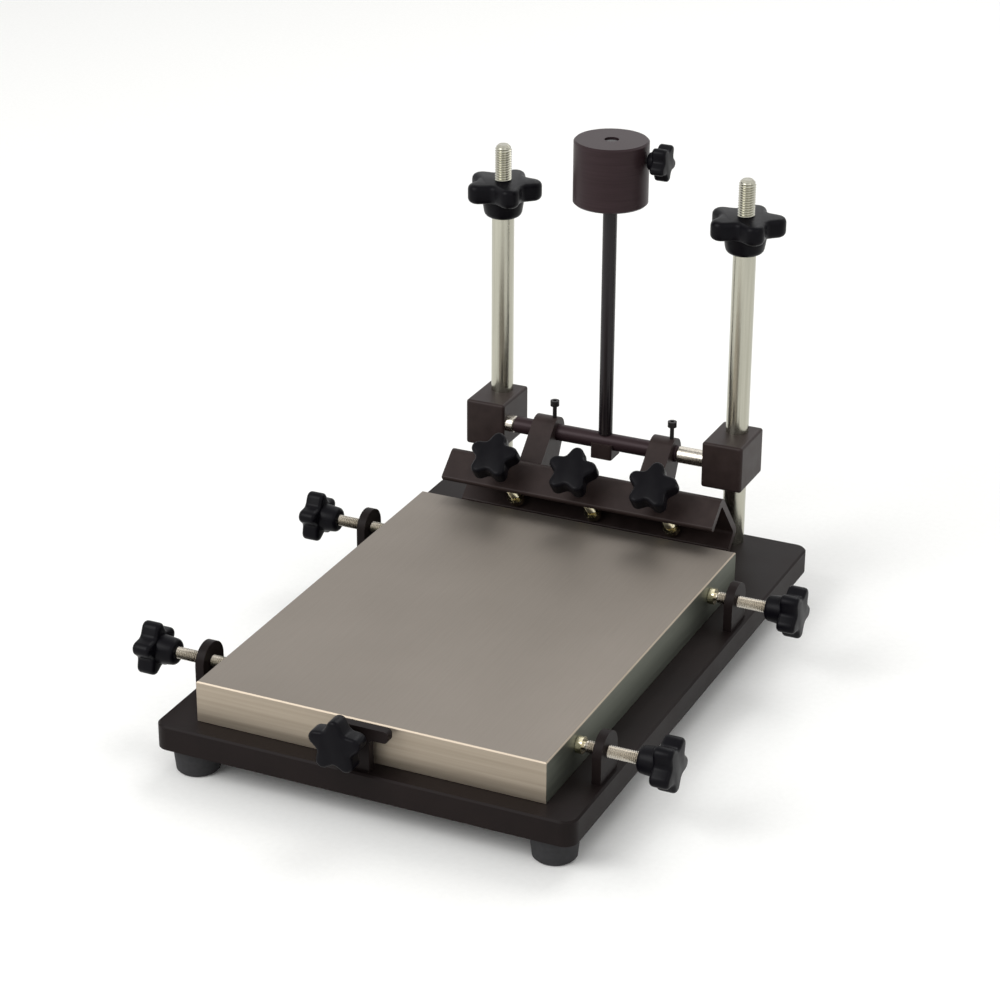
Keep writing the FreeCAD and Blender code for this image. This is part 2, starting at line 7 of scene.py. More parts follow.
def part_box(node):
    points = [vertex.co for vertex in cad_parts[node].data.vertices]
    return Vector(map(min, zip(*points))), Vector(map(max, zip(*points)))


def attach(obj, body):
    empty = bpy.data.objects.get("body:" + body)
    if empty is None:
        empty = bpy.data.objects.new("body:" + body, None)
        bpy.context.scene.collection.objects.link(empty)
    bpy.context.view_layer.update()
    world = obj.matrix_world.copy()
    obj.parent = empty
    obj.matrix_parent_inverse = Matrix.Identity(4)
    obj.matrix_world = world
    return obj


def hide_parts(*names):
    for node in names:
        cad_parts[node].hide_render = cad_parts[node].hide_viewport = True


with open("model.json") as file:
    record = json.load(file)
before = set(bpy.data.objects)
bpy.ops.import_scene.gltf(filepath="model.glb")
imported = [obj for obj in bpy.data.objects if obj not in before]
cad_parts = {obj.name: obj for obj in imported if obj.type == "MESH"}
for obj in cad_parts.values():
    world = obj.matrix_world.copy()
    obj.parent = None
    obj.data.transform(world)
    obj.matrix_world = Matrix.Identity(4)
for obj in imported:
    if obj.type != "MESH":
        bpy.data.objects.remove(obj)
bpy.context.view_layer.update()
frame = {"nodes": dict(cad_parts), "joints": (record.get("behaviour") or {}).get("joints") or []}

# The base plate is flat steel, cut to size and sprayed with satin black enamel. The feet and
# brackets are screwed to it and the columns stand in it. The enamel shows a soft sheen, a faint
# orange-peel ripple and a slightly uneven gloss.
millimetre = 0.001


def linear(code):
    """Colour for a shader from its sRGB hex code."""
    shares = [int(code[place:place + 2], 16) / 255 for place in (0, 2, 4)]
    return [share / 12.92 if share <= 0.04045 else ((share + 0.055) / 1.055) ** 2.4
            for share in shares] + [1.0]


def add_node(tree, kind, sockets=(), **settings):
    """Add a node with its settings. A socket gets a value, or the output that is linked into it."""
    node = tree.nodes.new(kind)
    for name, setting in settings.items():
        setattr(node, name, setting)
    for socket, source in dict(sockets).items():
        if isinstance(source, bpy.types.NodeSocket):
            tree.links.new(source, node.inputs[socket])
        else:
            node.inputs[socket].default_value = source
    return node


def finish(name, **values):
    """Material with a Principled shader, and the Object coordinates that its patterns read."""
    material = bpy.data.materials.new(name)
    material.use_nodes = True
    tree = material.node_tree
    shader = tree.nodes["Principled BSDF"]
    for socket, value in values.items():
        shader.inputs[socket.replace("_", " ")].default_value = value
    return material, tree, shader, add_node(tree, "ShaderNodeTexCoord").outputs["Object"]


def wire(tree, shader, **outputs):
    """Link a material's patterns into the shader's sockets of these names."""
    for socket, output in outputs.items():
        tree.links.new(output, shader.inputs[socket.replace("_", " ")])


def dress(material, *names):
    """Give nodes of the press a material."""
    for name in names:
        for slot in frame["nodes"][name].material_slots:
            slot.material = material


# A Mix node takes its factor in socket 0, two numbers in 2 and 3, or two colours in 6 and 7.
enamel, tree, shader, place = finish("satin_black_enamel", Specular_IOR_Level=0.08)
ripple = add_node(tree, "ShaderNodeTexNoise",
                  {"Vector": place, "Scale": 1 / (1.2 * millimetre), "Detail": 2.0}).outputs["Fac"]
cloud = add_node(tree, "ShaderNodeTexNoise",
                 {"Vector": place, "Scale": 1 / (38 * millimetre), "Detail": 5.0}).outputs["Fac"]
colour = add_node(tree, "ShaderNodeMix", {0: cloud, 6: linear("120e0e"), 7: linear("211a19")},
                  data_type="RGBA").outputs[2]
gloss = add_node(tree, "ShaderNodeMapRange",
                 {"Value": cloud, "To Min": 0.36, "To Max": 0.56}).outputs[0]
relief = add_node(tree, "ShaderNodeBump",
                  {"Height": ripple, "Strength": 1.0, "Distance": 0.03 * millimetre}).outputs[0]
wire(tree, shader, Base_Color=colour, Roughness=gloss, Normal=relief)
dress(enamel, "base_plate")

# Socket screws of black oxide steel hold the feet and the brackets from beneath and clamp the
# arms. Set screws of the same steel lock the slide blocks from behind. The oxide is nearly
# black, with a fine mottle. One tree makes every kind.
edge_steps = 4
edge_angle = math.radians(50)
sharp_angle = math.radians(40)


def new_tree(name, sizes):
    """Geometry tree with a named input for each size, given in millimetres."""
    tree = bpy.data.node_groups.new(name, "GeometryNodeTree")
    tree.interface.new_socket("Geometry", in_out="INPUT", socket_type="NodeSocketGeometry")
    tree.interface.new_socket("Geometry", in_out="OUTPUT", socket_type="NodeSocketGeometry")
    for size, value in sizes.items():
        socket = tree.interface.new_socket(size, in_out="INPUT", socket_type="NodeSocketFloat")
        socket.default_value = value * millimetre
    return tree, add_node(tree, "NodeGroupInput").outputs


def close_tree(tree, points, shape, material):
    """End of a tree: the shape on each point, as real meshes of one material."""
    spots = add_node(tree, "GeometryNodeInstanceOnPoints",
                     {"Points": points, "Instance": shape}).outputs[0]
    real = add_node(tree, "GeometryNodeRealizeInstances", {0: spots}).outputs[0]
    dressed = add_node(tree, "GeometryNodeSetMaterial", {0: real, "Material": material}).outputs[0]
    add_node(tree, "NodeGroupOutput", {0: dressed})


def grown(name, tree, sizes, body, nodes, points=((0, 0, 0),), turn=Matrix(), edge=0.0):
    """Piece that a tree grows on points, turned into place, which stands for CAD nodes."""
    seed = bpy.data.meshes.new(name)
    seed.from_pydata([tuple(point) for point in points], [], [])
    holder = bpy.data.objects.new(name + "_seed", seed)
    bpy.context.collection.objects.link(holder)
    modifier = holder.modifiers.new("tree", "NODES")
    modifier.node_group = tree
    for socket in tree.interface.items_tree:
        if socket.name in sizes:
            modifier[socket.identifier] = sizes[socket.name] * millimetre
    if edge:
        bevel = holder.modifiers.new("edge", "BEVEL")
        bevel.width = edge * millimetre
        bevel.segments = edge_steps
        bevel.limit_method = "ANGLE"
        bevel.angle_limit = edge_angle
        bevel.use_clamp_overlap = False
    graph = bpy.context.evaluated_depsgraph_get()
    mesh = bpy.data.meshes.new_from_object(holder.evaluated_get(graph))
    bpy.data.objects.remove(holder)
    mesh.transform(turn)
    mesh.shade_smooth()
    mesh.set_sharp_from_angle(angle=sharp_angle)
    piece = bpy.data.objects.new(name, mesh)
    bpy.context.collection.objects.link(piece)
    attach(piece, body)
    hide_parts(*nodes)


def middle_of(name):
    """Middle of a CAD node's box."""
    low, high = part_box(name)
    return (Vector(low) + Vector(high)) / 2


oxide, tree, shader, place = finish("black_oxide_steel", Metallic=0.8, Roughness=0.45)
mottle = add_node(tree, "ShaderNodeTexNoise",
                  {"Vector": place, "Scale": 1 / (0.8 * millimetre), "Detail": 3.0}).outputs["Fac"]
colour = add_node(tree, "ShaderNodeMix", {0: mottle, 6: linear("1c1b1c"), 7: linear("343131")},
                  data_type="RGBA").outputs[2]
relief = add_node(tree, "ShaderNodeBump",
                  {"Height": mottle, "Strength": 1.0, "Distance": 0.01 * millimetre}).outputs[0]
wire(tree, shader, Base_Color=colour, Normal=relief)
dress(oxide, "weight_lock_screw")

socket_screw, sizes = new_tree("socket_screw", {"Radius": 2, "Length": 10, "Head Radius": 3.5,
                                                "Head Height": 4, "Socket": 1.6, "Socket Depth": 2})
shank = add_node(socket_screw, "GeometryNodeMeshCylinder",
                 {"Vertices": 32, "Radius": sizes["Radius"], "Depth": sizes["Length"]}).outputs["Mesh"]
head = add_node(socket_screw, "GeometryNodeMeshCylinder",
                {"Vertices": 48, "Radius": sizes["Head Radius"],
                 "Depth": sizes["Head Height"]}).outputs["Mesh"]
hexagon = add_node(socket_screw, "GeometryNodeMeshCylinder",
                   {"Vertices": 6, "Radius": sizes["Socket"],
                    "Depth": sizes["Socket Depth"]}).outputs["Mesh"]
parts = []
for part, size, share in ((shank, "Length", 0.5), (head, "Head Height", -0.5),
                          (hexagon, "Head Height", -1.0)):
    height = add_node(socket_screw, "ShaderNodeMath", {0: sizes[size], 1: share},
                      operation="MULTIPLY").outputs[0]
    spot = add_node(socket_screw, "ShaderNodeCombineXYZ", {"Z": height}).outputs[0]
    parts.append(add_node(socket_screw, "GeometryNodeTransform",
                          {"Geometry": part, "Translation": spot}).outputs[0])
shank, head, hexagon = parts
head = add_node(socket_screw, "GeometryNodeMeshBoolean", {"Mesh 1": head, "Mesh 2": hexagon},
                operation="DIFFERENCE").outputs["Mesh"]
screw = add_node(socket_screw, "GeometryNodeJoinGeometry")
socket_screw.links.new(shank, screw.inputs[0])
socket_screw.links.new(head, screw.inputs[0])
close_tree(socket_screw, sizes["Geometry"], screw.outputs[0], oxide)

foot_recess = 8 * millimetre
feet = [middle_of("rubber_foot_%d" % number) for number in (1, 2, 3, 4)]
grown("foot_socket_screws", socket_screw,
      {"Radius": 2.5, "Length": 22, "Head Radius": 4.5, "Head Height": 3,
       "Socket": 2.2, "Socket Depth": 3},
      "base", ["foot_screws"], [(foot.x, foot.y, foot_recess) for foot in feet])

half_bracket_spacing = 7 * millimetre
front_screw_inset = 4 * millimetre
counterbore = 6 * millimetre
brackets = [middle_of("side_bracket_%d" % number) for number in (1, 2, 3, 4)]
front_low, front_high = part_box("front_bracket")
front_first = front_low[0] + front_screw_inset
bracket_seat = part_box("base_plate")[0][2] + counterbore
spots = [(bracket.x, bracket.y + step, bracket_seat)
         for bracket in brackets for step in (-half_bracket_spacing, half_bracket_spacing)]
spots += [(front_first + step, (front_low[1] + front_high[1]) / 2, bracket_seat)
          for step in (0, 2 * half_bracket_spacing)]
grown("bracket_socket_screws", socket_screw,
      {"Radius": 2, "Length": 21, "Head Radius": 3.5, "Head Height": 4,
       "Socket": 1.7, "Socket Depth": 4},
      "base", ["bracket_screws"], spots)

# The arm screws point down and the set screws lie level. Their spots are given as they stand
# before that turn.
arm_screw = {"Radius": 1.5, "Length": 13.9, "Head Radius": 3.2, "Head Height": 4,
             "Socket": 1.5, "Socket Depth": 4}
arm_screw_head = arm_screw["Head Height"] * millimetre
arm_screw_shift = 5.5 * millimetre
arm_screw_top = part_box("arm_screws")[1][2]
hinge = [Vector(joint["pos_m"]) for joint in frame["joints"] if joint["name"] == "swing_open"][0]
spots = [(middle_of("swing_arm_" + hand).x + arm_screw_shift, -hinge.y, arm_screw_head - arm_screw_top)
         for hand in ("left", "right")]
grown("arm_socket_screws", socket_screw, arm_screw,
      "swing", ["arm_screws"], spots, Matrix.Rotation(math.pi, 4, "X"))

set_screw = {"Radius": 3, "Length": 0.4, "Head Radius": 3, "Head Height": 4,
             "Socket": 1.7, "Socket Depth": 4}
set_screw_length = set_screw["Head Height"] * millimetre
low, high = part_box("block_screws")
spots = [(middle_of("slide_block_" + hand).x, (low[2] + high[2]) / 2, set_screw_length - high[1])
         for hand in ("left", "right")]
grown("block_set_screws", socket_screw, set_screw,
      "carriage", ["block_screws"], spots, Matrix.Rotation(math.pi / 2, 4, "X"))

# The four feet are moulded rubber with a matt, slightly dusty skin.
# Each is held by one screw in a recess on its underside.
rubber, tree, shader, place = finish("moulded_rubber", Roughness=0.85)
dust = add_node(tree, "ShaderNodeTexNoise",
                {"Vector": place, "Scale": 1 / (3 * millimetre), "Detail": 6.0}).outputs["Fac"]
colour = add_node(tree, "ShaderNodeMix", {0: dust, 6: linear("141416"), 7: linear("2a292b")},
                  data_type="RGBA").outputs[2]
relief = add_node(tree, "ShaderNodeBump",
                  {"Height": dust, "Strength": 1.0, "Distance": 0.08 * millimetre}).outputs[0]
wire(tree, shader, Base_Color=colour, Normal=relief)
dress(rubber, "rubber_foot_1", "rubber_foot_2", "rubber_foot_3", "rubber_foot_4")

# The print table is one thick aluminium plate, its face ground and left dull grey with marks
# along its length. Its ends are milled, in level strokes that are drawn coarser than real ones so
# that they show, and their pale colour is partly the milled finish and partly painted light. Its
# long sides carry painted shade: they are coloured dark grey, darker than the ends.
table, tree, shader, place = finish("ground_aluminium", Metallic=1.0)
lengthways = add_node(tree, "ShaderNodeMapping", {"Vector": place, "Scale": (1.0, 0.03, 1.0)}).outputs[0]
marks = add_node(tree, "ShaderNodeTexNoise",
                 {"Vector": lengthways, "Scale": 1 / (0.9 * millimetre), "Detail": 4.0}).outputs["Fac"]
crossways = add_node(tree, "ShaderNodeMapping", {"Vector": place, "Scale": (0.02, 0.02, 1.0)}).outputs[0]
strokes = add_node(tree, "ShaderNodeTexNoise",
                   {"Vector": crossways, "Scale": 1 / (2.5 * millimetre), "Detail": 2.0}).outputs["Fac"]
cloud = add_node(tree, "ShaderNodeTexNoise",
                 {"Vector": place, "Scale": 1 / (110 * millimetre), "Detail": 3.0}).outputs["Fac"]
facing = add_node(tree, "ShaderNodeSeparateXYZ",
                  {"Vector": add_node(tree, "ShaderNodeTexCoord").outputs["Normal"]}).outputs
sideways = add_node(tree, "ShaderNodeMath", {0: facing["X"]}, operation="ABSOLUTE").outputs[0]
is_face = add_node(tree, "ShaderNodeMapRange",
                   {"Value": facing["Z"], "From Min": 0.8, "From Max": 0.95}).outputs[0]
# Painted shade: faces turned to the sides, the long sides, get the dark grey colour below.
is_shaded_long_side = add_node(tree, "ShaderNodeMapRange",
                        {"Value": sideways, "From Min": 0.75, "From Max": 0.9}).outputs[0]
ground = add_node(tree, "ShaderNodeMix", {0: cloud, 6: linear("7e776f"), 7: linear("8c857d")},
                  data_type="RGBA").outputs[2]
# The ends' pale colour is partly the milled finish and partly painted light.
milled_and_lit = add_node(tree, "ShaderNodeMix", {0: strokes, 6: linear("94897a"), 7: linear("b9ad9d")},
                  data_type="RGBA").outputs[2]
# Painted shade: the dark grey colour of the long sides.
rolled = add_node(tree, "ShaderNodeMix", {0: strokes, 6: linear("64675f"), 7: linear("7a7d73")},
                  data_type="RGBA").outputs[2]
lit_and_shaded_sides = add_node(tree, "ShaderNodeMix", {0: is_shaded_long_side, 6: milled_and_lit, 7: rolled},
                 data_type="RGBA").outputs[2]
colour = add_node(tree, "ShaderNodeMix", {0: is_face, 6: lit_and_shaded_sides, 7: ground},
                  data_type="RGBA").outputs[2]
pattern = add_node(tree, "ShaderNodeMix", {0: is_face, 2: strokes, 3: marks}).outputs[0]
soft = add_node(tree, "ShaderNodeMapRange",
                {"Value": marks, "To Min": 0.48, "To Max": 0.6}).outputs[0]
sharp = add_node(tree, "ShaderNodeMapRange",
                 {"Value": strokes, "To Min": 0.46, "To Max": 0.58}).outputs[0]
gloss = add_node(tree, "ShaderNodeMix", {0: is_face, 2: sharp, 3: soft}).outputs[0]
relief = add_node(tree, "ShaderNodeBump",
                  {"Height": pattern, "Strength": 1.0, "Distance": 0.004 * millimetre}).outputs[0]
wire(tree, shader, Base_Color=colour, Roughness=gloss, Normal=relief)
dress(table, "print_table")

# Five brackets cut from flat steel stand on the base and carry the adjusting screws.
# They are enamelled with the base plate.
dress(enamel, "side_bracket_1", "side_bracket_2", "side_bracket_3", "side_bracket_4", "front_bracket")

# The swivel pads and the clamp's screws are turned steel, zinc plated, so they are pale with a
# warm, slightly cloudy cast.
zinc, tree, shader, place = finish("zinc_plated_steel", Metallic=1.0)
bloom = add_node(tree, "ShaderNodeTexNoise",
                 {"Vector": place, "Scale": 1 / (2.2 * millimetre), "Detail": 3.0}).outputs["Fac"]
colour = add_node(tree, "ShaderNodeMix", {0: bloom, 6: linear("d6cb9f"), 7: linear("f8f1d8")},
                  data_type="RGBA").outputs[2]
gloss = add_node(tree, "ShaderNodeMapRange", {"Value": bloom, "To Min": 0.16, "To Max": 0.28}).outputs[0]
wire(tree, shader, Base_Color=colour, Roughness=gloss)
dress(zinc, "adjuster_pad_1", "adjuster_pad_2", "adjuster_pad_3", "adjuster_pad_4", "front_pad",
      "clamp_pad_1", "clamp_pad_2", "clamp_pad_3")

# The adjusting screws and the pivot pins are turned steel left bright, with small flecks in the
# gloss. The screws at the sides and in the clamp are M8 and the front one is M6, with the
# standard coarse pitch. One tree makes every threaded bar.
bright, tree, shader, place = finish("turned_steel", Metallic=1.0)
flecks = add_node(tree, "ShaderNodeTexNoise",
                  {"Vector": place, "Scale": 1 / (1.0 * millimetre), "Detail": 3.0}).outputs["Fac"]
colour = add_node(tree, "ShaderNodeMix", {0: flecks, 6: linear("b2ab9f"), 7: linear("d6d0c5")},
                  data_type="RGBA").outputs[2]
gloss = add_node(tree, "ShaderNodeMapRange", {"Value": flecks, "To Min": 0.2, "To Max": 0.36}).outputs[0]
wire(tree, shader, Base_Color=colour, Roughness=gloss)
dress(bright, "pivot_pin_left", "pivot_pin_right")

thread_columns = 33
rows_a_turn = 4.0
wave_peak = 0.5
full_turn = 2 * math.pi


def threaded_tree(name, material):
    """Tree of a bar that stands on the XY plane: plain part, threaded part and chamfered end."""
    tree, sizes = new_tree(name, {"Plain Radius": 2.5, "Plain Length": 2.6, "Radius": 4, "Length": 50,
                                  "Pitch": 1.25, "Depth": 0.7, "Chamfer": 0.8})
    core = add_node(tree, "ShaderNodeMath", {0: sizes["Radius"], 1: sizes["Depth"]},
                    operation="SUBTRACT").outputs[0]
    tip = add_node(tree, "ShaderNodeMath", {0: core, 1: sizes["Chamfer"]},
                   operation="SUBTRACT").outputs[0]
    run = add_node(tree, "ShaderNodeMath", {0: sizes["Length"], 1: sizes["Chamfer"]},
                   operation="SUBTRACT").outputs[0]
    plain_half = add_node(tree, "ShaderNodeMath", {0: sizes["Plain Length"], 1: 0.5},
                          operation="MULTIPLY").outputs[0]
    half = add_node(tree, "ShaderNodeMath", {0: run, 1: 0.5, 2: sizes["Plain Length"]},
                    operation="MULTIPLY_ADD").outputs[0]
    end = add_node(tree, "ShaderNodeMath", {0: run, 1: sizes["Plain Length"]},
                   operation="ADD").outputs[0]
    plain = add_node(tree, "GeometryNodeMeshCylinder",
                     {"Vertices": 48, "Radius": sizes["Plain Radius"],
                      "Depth": sizes["Plain Length"]}).outputs["Mesh"]
    shank = add_node(tree, "GeometryNodeMeshCylinder",
                     {"Vertices": 32, "Radius": core, "Depth": run}).outputs["Mesh"]
    point = add_node(tree, "GeometryNodeMeshCone",
                     {"Vertices": 32, "Radius Top": tip, "Radius Bottom": core,
                      "Depth": sizes["Chamfer"]}).outputs["Mesh"]

    # The thread is a sheet of side 1 rolled round the core. Its rows climb by one pitch a turn,
    # and its radius rises and falls once from a turn to the next. It runs out at both ends.
    turns = add_node(tree, "ShaderNodeMath", {0: run, 1: sizes["Pitch"]}, operation="DIVIDE").outputs[0]
    turns = add_node(tree, "ShaderNodeMath", {0: turns}, operation="CEIL").outputs[0]
    turns = add_node(tree, "ShaderNodeMath", {0: turns, 1: 1.0}, operation="ADD").outputs[0]
    rows = add_node(tree, "ShaderNodeMath", {0: turns, 1: rows_a_turn, 2: 1.0},
                    operation="MULTIPLY_ADD").outputs[0]
    sheet = add_node(tree, "GeometryNodeMeshGrid",
                     {"Size X": 1.0, "Size Y": 1.0, "Vertices X": thread_columns,
                      "Vertices Y": rows}).outputs["Mesh"]
    spot = add_node(tree, "ShaderNodeSeparateXYZ",
                    {0: add_node(tree, "GeometryNodeInputPosition").outputs[0]}).outputs
    climb = add_node(tree, "ShaderNodeMath", {0: spot["Y"], 1: 0.5}, operation="ADD").outputs[0]
    climb = add_node(tree, "ShaderNodeMath", {0: climb, 1: turns}, operation="MULTIPLY").outputs[0]
    height = add_node(tree, "ShaderNodeMath", {0: climb, 1: spot["X"]}, operation="ADD").outputs[0]
    height = add_node(tree, "ShaderNodeMath", {0: height, 1: 0.5}, operation="SUBTRACT").outputs[0]
    height = add_node(tree, "ShaderNodeMath", {0: height, 1: sizes["Pitch"]},
                      operation="MULTIPLY").outputs[0]
    height = add_node(tree, "ShaderNodeClamp", {"Value": height, "Min": 0.0, "Max": run}).outputs[0]
    beyond = add_node(tree, "ShaderNodeMath", {0: run, 1: height}, operation="SUBTRACT").outputs[0]
    near = add_node(tree, "ShaderNodeMath", {0: height, 1: beyond}, operation="MINIMUM").outputs[0]
    full = add_node(tree, "ShaderNodeMapRange",
                    {"Value": near, "From Max": sizes["Pitch"], "To Max": 1 / wave_peak}).outputs[0]
    full = add_node(tree, "ShaderNodeMath", {0: full, 1: sizes["Depth"]}, operation="MULTIPLY").outputs[0]
    wave = add_node(tree, "ShaderNodeMath", {0: climb, 1: wave_peak}, operation="PINGPONG").outputs[0]
    reach = add_node(tree, "ShaderNodeMath", {0: wave, 1: full, 2: core},
                     operation="MULTIPLY_ADD").outputs[0]
    angle = add_node(tree, "ShaderNodeMath", {0: spot["X"], 1: full_turn},
                     operation="MULTIPLY").outputs[0]
    arm = add_node(tree, "ShaderNodeCombineXYZ", {"X": reach, "Z": height}).outputs[0]
    rolled = add_node(tree, "ShaderNodeVectorRotate", {"Vector": arm, "Angle": angle},
                      rotation_type="Z_AXIS").outputs[0]
    sheet = add_node(tree, "GeometryNodeSetPosition",
                     {"Geometry": sheet, "Position": rolled}).outputs[0]
    thread = add_node(tree, "GeometryNodeMergeByDistance",
                      {0: sheet, "Distance": 0.001 * millimetre}).outputs[0]

    joined = add_node(tree, "GeometryNodeJoinGeometry")
    for part, height in ((plain, plain_half), (shank, half), (thread, sizes["Plain Length"]),
                         (point, end)):
        spot = add_node(tree, "ShaderNodeCombineXYZ", {"Z": height}).outputs[0]
        moved = add_node(tree, "GeometryNodeTransform",
                         {"Geometry": part, "Translation": spot}).outputs[0]
        tree.links.new(moved, joined.inputs[0])
    close_tree(tree, sizes["Geometry"], joined.outputs[0], material)
    return tree


def axis_of(name, outward):
    """Point on a joint's axis, and the way along it: outward is 1 or -1 times the axis."""
    joint = [joint for joint in frame["joints"] if joint["name"] == name][0]
    return Vector(joint["pos_m"]), Vector(joint["axis"]).normalized() * outward


def along(node, point, way):
    """Start and end of a node along an axis, and its reach from the axis, in millimetres."""
    spots = [vertex.co - point for vertex in frame["nodes"][node].data.vertices]
    steps = [spot.dot(way) for spot in spots]
    reach = max((spot - way * step).length for spot, step in zip(spots, steps))
    return min(steps) / millimetre, max(steps) / millimetre, reach / millimetre


def laid(point, way, start, turned=0.0):
    """Place of a piece whose Z axis is laid along a way, from a start given in millimetres."""
    aim = Vector((0, 0, 1)).rotation_difference(way).to_matrix().to_4x4()
    return (Matrix.Translation(point + way * start * millimetre) @ aim
            @ Matrix.Rotation(math.radians(turned), 4, "Z"))


bright_bar = threaded_tree("bright_threaded_bar", bright)
zinc_bar = threaded_tree("zinc_threaded_bar", zinc)
m6 = {"Plain Radius": 1.5, "Plain Length": 2, "Radius": 3, "Pitch": 1.0, "Depth": 0.55, "Chamfer": 0.6}
m8 = {"Plain Radius": 2.5, "Plain Length": 4, "Radius": 4, "Pitch": 1.25, "Depth": 0.7, "Chamfer": 0.8}
screws = [("side_adjuster_%d_turn" % number, "adjuster_screw_%d" % number, "side_adjuster_%d" % number,
           "bright_steel", bright_bar, m8) for number in (1, 2, 3, 4)]
screws += [("frame_screw_%d_turn" % number, "clamp_screw_%d" % number, "frame_screw_%d" % number,
            "zinc_plate", zinc_bar, m8) for number in (1, 2, 3)]
screws.append(("front_knob_turn", "front_screw", "front_adjuster", "bright_steel", bright_bar, m6))
for joint_name, node, body, slot, bar, thread in screws:
    point, way = axis_of(joint_name, -1)
    start, end, reach = along(node, point, way)
    grown(node + "_thread", bar, dict(thread, Length=end - start - thread["Plain Length"]),
          body, [node], turn=laid(point, way, start))

# Star knobs are moulded from black phenolic resin: glossy on the crests, duller where hands
# have rubbed them. Each has five round lobes and a hub that flares up into them. A knob's size
# along and across its axis is read from its CAD node.
phenolic, tree, shader, place = finish("moulded_phenolic", Specular_IOR_Level=0.08)
rub = add_node(tree, "ShaderNodeTexNoise",
               {"Vector": place, "Scale": 1 / (6 * millimetre), "Detail": 5.0}).outputs["Fac"]
colour = add_node(tree, "ShaderNodeMix", {0: rub, 6: linear("050408"), 7: linear("0d0c10")},
                  data_type="RGBA").outputs[2]
gloss = add_node(tree, "ShaderNodeMapRange", {"Value": rub, "To Min": 0.28, "To Max": 0.44}).outputs[0]
relief = add_node(tree, "ShaderNodeBump",
                  {"Height": rub, "Strength": 1.0, "Distance": 0.04 * millimetre}).outputs[0]
wire(tree, shader, Base_Color=colour, Roughness=gloss, Normal=relief)

lobe_count = 5
star_knob, sizes = new_tree("star_knob", {"Tip": 24, "Notch": 12, "Lobe": 4.7, "Valley": 4, "Depth": 13,
                                          "Hub Radius": 8.5, "Hub Length": 12, "Flare": 10.6})
outline = add_node(star_knob, "GeometryNodeCurveStar",
                   {"Points": lobe_count, "Inner Radius": sizes["Notch"],
                    "Outer Radius": sizes["Tip"]}).outputs
bend = add_node(star_knob, "GeometryNodeSwitch",
                {"Switch": outline["Outer Points"], "False": sizes["Valley"], "True": sizes["Lobe"]},
                input_type="FLOAT").outputs[0]
curve = add_node(star_knob, "GeometryNodeFilletCurve",
                 {"Curve": outline["Curve"], "Radius": bend, "Count": 12, "Limit Radius": True},
                 mode="POLY").outputs[0]
underside = add_node(star_knob, "GeometryNodeFillCurve", {0: curve}, mode="NGONS").outputs[0]
lobes = add_node(star_knob, "GeometryNodeExtrudeMesh",
                 {"Mesh": underside, "Offset Scale": sizes["Depth"], "Individual": False},
                 mode="FACES").outputs["Mesh"]
closed = add_node(star_knob, "GeometryNodeFlipFaces", {0: underside}).outputs[0]
shell = add_node(star_knob, "GeometryNodeJoinGeometry")
star_knob.links.new(lobes, shell.inputs[0])
star_knob.links.new(closed, shell.inputs[0])
lobes = add_node(star_knob, "GeometryNodeMergeByDistance",
                 {0: shell.outputs[0], "Distance": 0.001 * millimetre}).outputs[0]
raised = add_node(star_knob, "ShaderNodeCombineXYZ", {"Z": sizes["Hub Length"]}).outputs[0]
lobes = add_node(star_knob, "GeometryNodeTransform",
                 {"Geometry": lobes, "Translation": raised}).outputs[0]
hub_height = add_node(star_knob, "ShaderNodeMath", {0: sizes["Depth"], 1: 0.5, 2: sizes["Hub Length"]},
                      operation="MULTIPLY_ADD").outputs[0]
hub = add_node(star_knob, "GeometryNodeMeshCone",
               {"Vertices": 48, "Radius Top": sizes["Flare"], "Radius Bottom": sizes["Hub Radius"],
                "Depth": hub_height}).outputs["Mesh"]
whole = add_node(star_knob, "GeometryNodeJoinGeometry")
star_knob.links.new(lobes, whole.inputs[0])
star_knob.links.new(hub, whole.inputs[0])
close_tree(star_knob, sizes["Geometry"], whole.outputs[0], phenolic)

# The roundness of lobes and valleys and the rim's edge are shares of a knob's reach, and the
# flare is a share of its hub's radius. The flank is half the angle between a lobe's sides.
lobe_share = 0.27
valley_share = 0.22
edge_share = 0.14
flare_share = 1.25
flank = math.radians(24)
quarter_turn = 90
no_turn = 0
side_knob = {"Depth": 13, "Hub Radius": 8.5}
clamp_knob = {"Depth": 13, "Hub Radius": 8}
column_knob = {"Depth": 14, "Hub Radius": 13}
lock_knob = {"Depth": 10, "Hub Radius": 6}
knobs = [("side_adjuster_%d_turn" % number, "adjuster_knob_%d" % number, "side_adjuster_%d" % number,
          -1, side_knob, no_turn) for number in (1, 2, 3, 4)]
knobs += [("frame_screw_%d_turn" % number, "clamp_knob_%d" % number, "frame_screw_%d" % number,
           -1, clamp_knob, quarter_turn) for number in (1, 2, 3)]
knobs += [("%s_column_knob_turn" % hand, "column_knob_" + hand, hand + "_column_knob",
           1, column_knob, quarter_turn) for hand in ("left", "right")]
knobs += [("front_knob_turn", "front_knob", "front_adjuster", -1, side_knob, quarter_turn),
          ("weight_lock_turn", "weight_lock_knob", "weight_lock", 1, lock_knob, no_turn)]
lobe_step = math.pi / lobe_count
for joint_name, node, body, outward, kind, turned in knobs:
    point, way = axis_of(joint_name, outward)
    start, end, reach = along(node, point, way)
    tip = reach * (1 - lobe_share + lobe_share / math.sin(flank))
    notch = tip * math.tan(flank) / (math.sin(lobe_step) + math.cos(lobe_step) * math.tan(flank))
    grown(node + "_moulded", star_knob,
          {"Tip": tip, "Notch": notch, "Lobe": reach * lobe_share, "Valley": reach * valley_share,
           "Depth": kind["Depth"], "Hub Radius": kind["Hub Radius"],
           "Hub Length": end - start - kind["Depth"], "Flare": kind["Hub Radius"] * flare_share},
          body, [node], turn=laid(point, way, start, turned), edge=reach * edge_share)

